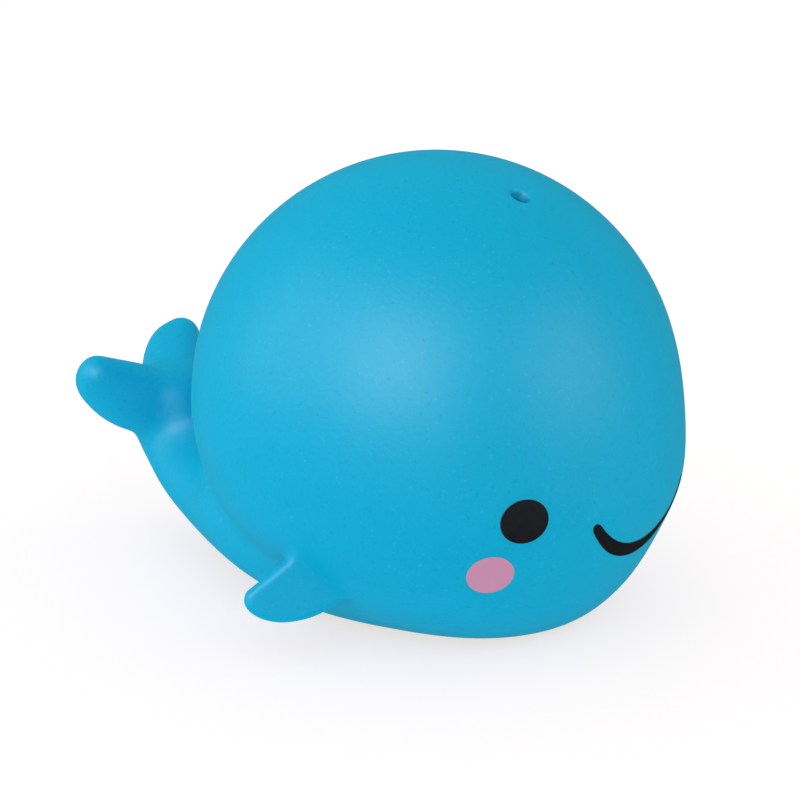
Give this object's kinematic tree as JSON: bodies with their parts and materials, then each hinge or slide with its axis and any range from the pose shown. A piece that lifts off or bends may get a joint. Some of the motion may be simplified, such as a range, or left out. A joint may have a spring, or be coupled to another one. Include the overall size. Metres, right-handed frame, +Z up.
{
  "type": "squeaky whale bath toy",
  "caption": "Hollow soft vinyl whale for the bath, with painted eyes, cheeks and smile, a blowhole on top, and a reed squeaker pushed into its flat base.",
  "frame": {"origin": "middle of the overall length and width, on the surface that the flat base rests on", "axes": "-Y is the way the whale faces, +Y runs to its tail, +X is its left side, +Z is up"},
  "size_m": [0.0846, 0.0954, 0.0663],
  "materials": {
    "vinyl_blue": "satin soft vinyl with a fine orange-peel skin",
    "paint_black": "satin toy paint",
    "paint_pink": "satin toy paint",
    "squeaker_plastic": "moulded polyethylene",
    "reed_film": "glossy plastic film"
  },
  "bodies": {
    "toy": {"body_shell": "vinyl_blue", "right_eye": "paint_black", "left_eye": "paint_black", "right_cheek": "paint_pink", "left_cheek": "paint_pink", "mouth": "paint_black", "squeaker_plug": "squeaker_plastic", "reed_barrel": "squeaker_plastic", "tone_channel": "squeaker_plastic", "reed_wedge": "squeaker_plastic"},
    "reed": {"reed": "reed_film"}
  },
  "joints": [
    {"name": "reed_flutter", "type": "hinge", "parent": "toy", "child": "reed", "pos_m": [0, -0.01363, 0.0082], "axis": [1, 0, 0], "range_deg": [-2, 1], "stiffness_Nm_per_rad": 0.0002}
  ]
}
